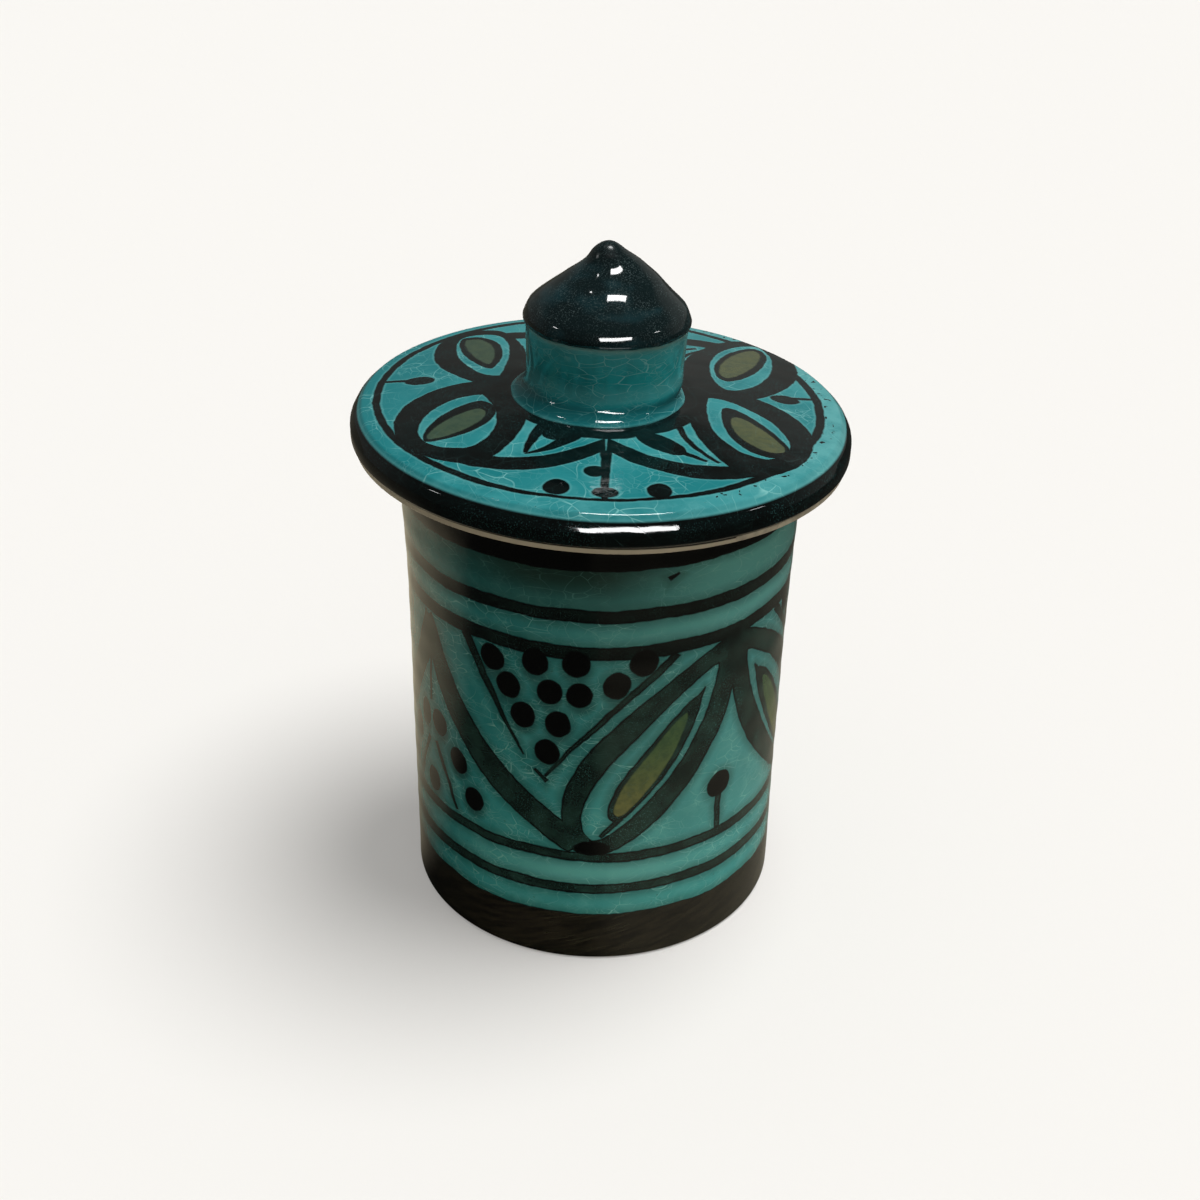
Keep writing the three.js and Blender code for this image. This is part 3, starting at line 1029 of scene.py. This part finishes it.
# Lid: vent, flange and plate, then how it leans and strays and where its clay is bare
VENT_RADIUS = 2.5
FLANGE_INSIDE = 27.6
FLANGE_OUTSIDE = 32.1
FLANGE_DROP = 8.0
FLANGE_ROUND = 1.6
UNDER_PLATE = 1.5
SEAT_WIDTH = 38.6
CROWN_RADIUS = 16.8
LEANS_ABOVE = (1.6, 5.0)
LEANS_BEYOND = (38.5, 43.0)
RIM_WAVER = 0.8
RIM_SEED = 7.0
LIFT_WAVER = 0.7
LIFT_SEED = 11.0
STRAYS_BEYOND = (30.0, 40.0)
UNDER_NORMAL = -0.3
RIM_TURN = 0.8
FLANGE_BARE_BELOW = 0.3
FLANGE_BARE_INSIDE = 27.8
FLANGE_BARE_TOP = 2.0
VENT_BARE = 4.0
VENT_NORMAL = 0.5


class SPICEJAR_OT_lid(bpy.types.Operator):
    """Throw the lid plate: crowned disc, rolled rim, flange and vent"""
    bl_idname = "spice_jar.lid"
    bl_label = "Lid plate"

    def execute(self, context):
        size = context.scene.spice_jar_sizes
        tones = context.scene.spice_jar_colours
        rim, seat, crown = size.lid_radius / MM, size.jar_height / MM, size.plate_top / MM
        waver = size.waver / MM
        under, low = seat + UNDER_PLATE, seat - FLANGE_DROP
        glazed, bare = range(2)
        bm = turned_form(rounded([
            (VENT_RADIUS, under, 0), (FLANGE_INSIDE, under, 1.4),
            (FLANGE_INSIDE, low, FLANGE_ROUND), (FLANGE_OUTSIDE, low, FLANGE_ROUND),
            (FLANGE_OUTSIDE, seat, 0.7), (SEAT_WIDTH, seat, 2.0), (rim - 0.2, seat - 0.35, 0.2),
            (rim - 0.1, seat + 0.75, 0.1), (rim + 0.4, seat + 1.3, 0.4), (rim + 0.4, seat + 3.45, 1.2),
            (rim - 0.4, seat + 4.95, 1.2), (rim - 1.76, seat + 6.27, 0.9), (CROWN_RADIUS, crown, 6.0),
            (VENT_RADIUS, crown, 0)]), closed=True)

        def move(radius, angle, height):
            above = max(step_between(height - seat, *LEANS_ABOVE), step_between(radius, *LEANS_BEYOND))
            drop = -LEAN * radius * math.sin(angle) * above
            out = RIM_WAVER * waver * stray(radius, angle, height, RIM_SEED)
            lift = LIFT_WAVER * waver * stray(radius, angle, height, LIFT_SEED) * above
            return *outward(out * step_between(radius, *STRAYS_BEYOND), angle), drop + lift

        def pick(radius, height, normal):
            below = normal.z < UNDER_NORMAL and radius < rim - RIM_TURN
            in_flange = radius < FLANGE_BARE_INSIDE and height < seat + FLANGE_BARE_TOP
            in_vent = radius < VENT_BARE and normal.z < VENT_NORMAL
            low_down = height < seat - FLANGE_BARE_BELOW
            return bare if below or low_down or in_flange or in_vent else glazed

        shape_by_hand(bm, move)
        finish_piece(bm, "lid", [lid_glaze(tones), bare_clay(tones)], pick,
                     "lid", "lid_plate")
        return {"FINISHED"}


# Knob: height and radius up the cap
CAP_OUTLINE = (
    (117.0, 14.92), (117.8, 14.64), (118.5, 14.34), (119.1, 14.04), (119.6, 13.58), (120.2, 12.94),
    (121.0, 12.05), (122.0, 10.92), (123.0, 9.79), (123.3, 9.46), (123.7, 9.04), (124.1, 8.64),
    (124.6, 8.04), (125.2, 7.30), (126.0, 6.35), (127.0, 5.25), (128.0, 4.15), (129.0, 3.05),
    (129.6, 2.35), (130.1, 1.65), (130.4, 1.1), (130.58, 0.6), (130.65, 0.0))
CAP_TIP = CAP_OUTLINE[-1][0]

# Knob: its hollow, then its lean, bent tip, ragged foot and dented front
KNOB_SINK = 0.15
KNOB_WALL = 4.0
HOLLOW_SIDE = 18.0
HOLLOW_TOP = 23.0
LEANS_FROM = 94.0
TIP_BEND = 0.75
TIP_BENDS = (120.0, 126.0)
TIP_RETURN = 1.25
TIP_RETURNS = (126.5, 129.5)
SKIRT_ENDS = (0.3, 3.0)
SKIRT_WIDTH = 2.0
SKIRT_SHIFT = (-1.05, -1.2)
RAGGED = 0.25
RAGGED_RADIUS = 16.0
RAGGED_TURNS = 2.0
RAGGED_SEED = 3.0
KNOB_WAVER = 0.6
KNOB_WAVER_DEPTH = 1.0
KNOB_SEED = 5.0
HOLLOW_FRONT = 1.15
HOLLOW_FRONT_STARTS = (122.9, 127.2)
HOLLOW_FRONT_ENDS = (127.3, CAP_TIP)
HOLLOW_FRONT_SPREAD = (0.0, 140.0)
HOLLOW_FRONT_FADE = 2.0
BARE_HOLLOW = 3.5
BARE_HOLLOW_TOP = 23.5
BARE_HOLLOW_NORMAL = 0.2


class SPICEJAR_OT_knob(bpy.types.Operator):
    """Throw the hollow knob: flared neck and pointed cap"""
    bl_idname = "spice_jar.knob"
    bl_label = "Knob"

    def execute(self, context):
        size = context.scene.spice_jar_sizes
        tones = context.scene.spice_jar_colours
        neck, base, waver = size.neck_radius / MM, size.plate_top / MM - KNOB_SINK, size.waver / MM
        hollow = neck - KNOB_WALL
        glazed, bare = range(2)
        outline = rounded([
            (0, base + HOLLOW_TOP, 0), (hollow, base + HOLLOW_SIDE, 6.0), (hollow, base, 0.4),
            (neck + 1.55, base, 0.1), (neck + 1.45, base + 0.35, 0.12), (neck + 0.1, base + 0.85, 1.6),
            (neck, base + 6.0, 10.0), (neck + 0.35, base + 13.3, 0.3), (neck + 0.8, base + 13.8, 0.25),
            (neck + 0.8, base + 14.2, 0)])
        outline += [Vector((radius, height)) for height, radius in CAP_OUTLINE]
        bm = turned_form(outline)

        def move(radius, angle, height):
            tip = TIP_BEND * step_between(height, *TIP_BENDS)
            tip *= 1 - TIP_RETURN * step_between(height, *TIP_RETURNS)
            skirt = 1 - step_between(height, *(base + end for end in SKIRT_ENDS))
            skirt *= step_between(radius, neck - SKIRT_WIDTH, neck)
            ragged = RAGGED * stray(RAGGED_RADIUS, angle * RAGGED_TURNS, 0.0, RAGGED_SEED) * skirt
            true = KNOB_WAVER * waver * stray(radius, angle, height, KNOB_SEED)
            true *= step_between(radius, neck - BARE_HOLLOW, neck - KNOB_WAVER_DEPTH)
            dent = HOLLOW_FRONT * step_between(height, *HOLLOW_FRONT_STARTS)
            dent *= 1 - step_between(height, *HOLLOW_FRONT_ENDS)
            dent *= 1 - step_between(abs(math.degrees(angle)), *HOLLOW_FRONT_SPREAD)
            right, back = outward(true + ragged - dent * min(1.0, radius / HOLLOW_FRONT_FADE), angle)
            lean = LEAN * (height - LEANS_FROM)
            skirt_right, skirt_back = SKIRT_SHIFT
            return (lean + tip + skirt_right * skirt + right, skirt_back * skirt + back,
                    -LEAN * radius * math.sin(angle))

        def pick(radius, height, normal):
            in_hollow = radius < neck - BARE_HOLLOW and height < base + BARE_HOLLOW_TOP
            return bare if in_hollow and normal.z < BARE_HOLLOW_NORMAL else glazed

        shape_by_hand(bm, move)
        finish_piece(bm, "knob", [knob_glaze(tones), bare_clay(tones)], pick,
                     "lid", "lid_knob")
        return {"FINISHED"}


# Stage: the photographed view, a pale floor and soft light

VIEW_TARGET = (0.37, 0.0, 58.89)
VIEW_DISTANCE = 328.7
VIEW_PITCH = 30.38
VIEW_ROLL = 1.22
VIEW_LENS = 50.93
VIEW_NEAR = 0.01
SENSOR_WIDTH = 36.0
FLOOR_RADIUS = 4.0
FLOOR_SEGMENTS = 64

# The photographed glaze mirrors a dim room, darkest to the left of the viewer: sides in degrees from
# the front, spans by side or by distance from the jar
SIDES = {"dark": -37.0, "warm": -140.0, "lit": 50.0}
DARK_FLOOR = (("dark", 0.62, 0.86), ("away", 60.0, 190.0, 0.0, 0.97))
WARM_FLOOR = (("warm", 0.3, 0.85), ("away", 130.0, 240.0, 1.0, 0.1))
LOST_BOUNCE = (("away", 60.0, 240.0), ("lit", -0.8, 0.25, 0.95, 0.0))
FLOOR_FILL = (-0.3, 0.7, 0.0, 0.6)
FAR_BOUNCE = 0.08
MIRRORED_SHARE = 0.02
MIRRORED_GLOW = 0.35
MIRRORED_DARK = (0.005, 0.005, 0.004)
MIRRORED_FLOOR = (0.150, 0.137, 0.104)
MIRRORED_LEFT = (0.340, 0.298, 0.208)
MIRRORED_ROOM = (0.020, 0.020, 0.016)
MIRRORED_BACK = (0.180, 0.180, 0.167)
BACK_WALL = (("up", 0.60, 0.42), ("y", -0.2, 0.4), ("x", -0.15, 0.10, 0.5, 1.0))
PALE_BACKDROP = (0.956, 0.939, 0.905)
LOW_SKY_LEFT = (0.02, 0.018, 0.014)
LOW_SKY_RIGHT = (0.50, 0.475, 0.43)
LOW_SKY_SPAN = (-0.8, 0.3)
HIGH_SKY = (0.79, 0.79, 0.79)
HIGH_SKY_SPAN = (0.2, 1.0)

# Lamps: azimuth, elevation and distance in metres from the jar's middle, then for those that only
# glossy surfaces see, power, shape and size
LAMP_TARGET = (0.0, 0.0, 0.08)
KEY_PLACE = (95.0, 72.0, 2.0)
KEY_ANGLE = 35.0
HIGHLIGHTS = (
    ("front_window", (14.5, 27.0, 1.0), 5.3, "RECTANGLE", (0.69, 0.095)),
    ("overhead_box", (55.0, 79.0, 1.2), 7.0, "RECTANGLE", (0.45, 0.17)),
    ("left_lamp", (-110.0, 68.5, 1.2), 0.14, "DISK", (0.05, 0.05)),
    ("side_lamp", (-78.0, 27.0, 1.0), 0.26, "RECTANGLE", (0.12, 0.04)),
    ("side_lamp", (76.0, 27.0, 1.0), 0.26, "RECTANGLE", (0.12, 0.04)),
)
FACES_DOWN = "overhead_box"


def direction(azimuth, elevation):
    """Unit vector: azimuth in degrees to the right of the front, elevation above the floor."""
    across, up = math.radians(azimuth), math.radians(elevation)
    return Vector((math.sin(across) * math.cos(up), -math.cos(across) * math.cos(up), math.sin(up)))


def set_up(name, data, place, turn):
    """An object with its place and turn, in the scene."""
    thing = bpy.data.objects.new(name, data)
    thing.location = place
    thing.rotation_mode = "QUATERNION"
    thing.rotation_quaternion = turn
    bpy.context.scene.collection.objects.link(thing)
    return thing


def add_camera():
    view = direction(0.0, VIEW_PITCH)
    data = bpy.data.cameras.new("view")
    data.lens = VIEW_LENS
    data.sensor_width = SENSOR_WIDTH
    data.sensor_fit = "HORIZONTAL"
    data.clip_start = VIEW_NEAR
    turn = view.to_track_quat("Z", "Y") @ Quaternion((0, 0, 1), math.radians(VIEW_ROLL))
    bpy.context.scene.camera = set_up(
        "view", data, (Vector(VIEW_TARGET) + view * VIEW_DISTANCE) * MM, turn)


def add_lamp(name, kind, place, energy, glossy):
    """A lamp that looks at the jar's middle, for glossy rays alone or for diffuse rays alone."""
    azimuth, elevation, distance = place
    data = bpy.data.lights.new(name, kind)
    data.energy = energy
    away = direction(azimuth, elevation)
    lamp = set_up(name, data, Vector(LAMP_TARGET) + away * distance, away.to_track_quat("Z", "Y"))
    lamp.visible_camera = False
    lamp.visible_diffuse = not glossy
    lamp.visible_glossy = glossy
    return lamp


def add_lamps(stage):
    key = add_lamp("key", "SUN", KEY_PLACE, stage.key, glossy=False)
    key.data.angle = math.radians(KEY_ANGLE)
    for name, place, power, shape, (width, height) in HIGHLIGHTS:
        lamp = add_lamp(name, "AREA", place, power, glossy=True)
        lamp.data.shape = shape
        lamp.data.size = width
        lamp.data.size_y = height
        if name == FACES_DOWN:
            lamp.rotation_quaternion = Quaternion()


def pale_share(nodes, rays):
    """How much of the pale floor or backdrop a ray sees: all of it, or the share the glaze mirrors."""
    return nodes.most(rays["Is Camera Ray"], rays["Is Transmission Ray"],
                      nodes.times(rays["Is Glossy Ray"], MIRRORED_SHARE))


def pale_floor(stage):
    """Pale to the camera; to the jar, a dim room's floor and the light that it gives back."""
    material, nodes = new_material("pale_floor")
    rays = nodes.add("ShaderNodeLightPath").outputs
    place = nodes.place()
    heading = nodes.vector("NORMALIZE", place)
    axes = {name: nodes.vector("DOT_PRODUCT", heading, direction(azimuth, 0.0))
            for name, azimuth in SIDES.items()}
    axes["away"] = nodes.vector("LENGTH", place)
    mirrored = nodes.blend(nodes.most(*nodes.ramps(axes, DARK_FLOOR)), MIRRORED_FLOOR, MIRRORED_DARK)
    mirrored = nodes.blend(nodes.times(*nodes.ramps(axes, WARM_FLOOR)), mirrored, MIRRORED_LEFT)
    far = tuple(FAR_BOUNCE * part for part in stage.bounce)
    bounce = nodes.blend(nodes.most(*nodes.ramps(axes, LOST_BOUNCE)), stage.bounce, far)
    tint = nodes.blend(rays["Is Glossy Ray"], bounce, mirrored)
    strength = nodes.times(rays["Is Diffuse Ray"], nodes.ramp(axes["lit"], *FLOOR_FILL))
    strength = nodes.math("MULTIPLY_ADD", rays["Is Glossy Ray"], MIRRORED_GLOW, strength)
    dim = nodes.put("ShaderNodeAddShader", nodes.put("ShaderNodeBsdfDiffuse", tint),
                    nodes.put("ShaderNodeEmission", tint, strength))
    pale = nodes.put("ShaderNodeMixShader", stage.glow, nodes.put("ShaderNodeBsdfDiffuse", stage.floor),
                     nodes.put("ShaderNodeEmission", stage.floor, 1.0))
    seen = nodes.put("ShaderNodeMixShader", pale_share(nodes, rays), dim, pale)
    nodes.add("ShaderNodeOutputMaterial", {"Surface": seen})
    return material


def add_floor(stage):
    bm = bmesh.new()
    bmesh.ops.create_circle(bm, cap_ends=True, radius=FLOOR_RADIUS, segments=FLOOR_SEGMENTS)
    mesh = bpy.data.meshes.new("floor")
    bm.to_mesh(mesh)
    bm.free()
    mesh.materials.append(pale_floor(stage))
    floor = bpy.data.objects.new("floor", mesh)
    bpy.context.scene.collection.objects.link(floor)


def add_world(stage):
    """Pale to the camera; soft light from above for the jar, dim and warm near the floor."""
    world = bpy.data.worlds.new("soft_light")
    world.use_nodes = True
    world.node_tree.nodes.clear()
    nodes = Nodes(world.node_tree)
    rays = nodes.add("ShaderNodeLightPath").outputs
    x, y, up = nodes.split(nodes.add("ShaderNodeTexCoord").outputs["Generated"])
    axes = {"x": x, "y": y, "up": up}
    low = nodes.blend(nodes.ramp(x, *LOW_SKY_SPAN), LOW_SKY_LEFT, LOW_SKY_RIGHT)
    sky = nodes.blend(nodes.ramp(up, *HIGH_SKY_SPAN), low, HIGH_SKY)
    room = nodes.blend(nodes.times(*nodes.ramps(axes, BACK_WALL)), MIRRORED_ROOM, MIRRORED_BACK)
    dim = nodes.put("ShaderNodeMixShader", rays["Is Glossy Ray"],
                    nodes.put("ShaderNodeBackground", sky, stage.sky),
                    nodes.put("ShaderNodeBackground", room, 1.0))
    pale = nodes.put("ShaderNodeBackground", PALE_BACKDROP, 1.0)
    seen = nodes.put("ShaderNodeMixShader", pale_share(nodes, rays), dim, pale)
    nodes.add("ShaderNodeOutputWorld", {"Surface": seen})
    bpy.context.scene.world = world


class SPICEJAR_OT_stage(bpy.types.Operator):
    """Set the camera, pale floor and soft light"""
    bl_idname = "spice_jar.stage"
    bl_label = "Stage"

    def execute(self, context):
        stage = context.scene.spice_jar_stage
        context.scene.view_settings.view_transform = "Standard"
        add_camera()
        add_floor(stage)
        add_world(stage)
        add_lamps(stage)
        return {"FINISHED"}


GROUPS = {"spice_jar_sizes": SpiceJarSizes, "spice_jar_colours": SpiceJarColours,
          "spice_jar_stage": SpiceJarStage}
OPERATORS = (SPICEJAR_OT_stage, SPICEJAR_OT_jar, SPICEJAR_OT_lid, SPICEJAR_OT_knob)


class SPICEJAR_PT_panel(bpy.types.Panel):
    """Sizes, colours and makers of the spice jar"""
    bl_idname = "SPICEJAR_PT_panel"
    bl_label = "Spice Jar"
    bl_space_type = "VIEW_3D"
    bl_region_type = "UI"
    bl_category = "Spice Jar"

    def draw(self, context):
        layout = self.layout
        for group in GROUPS:
            box = layout.box()
            for name in GROUPS[group].__annotations__:
                box.prop(getattr(context.scene, group), name)
        for operator in OPERATORS:
            layout.operator(operator.bl_idname)


CLASSES = (*GROUPS.values(), *OPERATORS, SPICEJAR_PT_panel)


def register():
    for kind in CLASSES:
        bpy.utils.register_class(kind)
    for name, kind in GROUPS.items():
        setattr(bpy.types.Scene, name, PointerProperty(type=kind))


def unregister():
    for name in GROUPS:
        delattr(bpy.types.Scene, name)
    for kind in reversed(CLASSES):
        bpy.utils.unregister_class(kind)


def main():
    register()
    bpy.ops.spice_jar.stage()
    bpy.ops.spice_jar.jar()
    bpy.ops.spice_jar.lid()
    bpy.ops.spice_jar.knob()


if __name__ == "__main__":
    main()
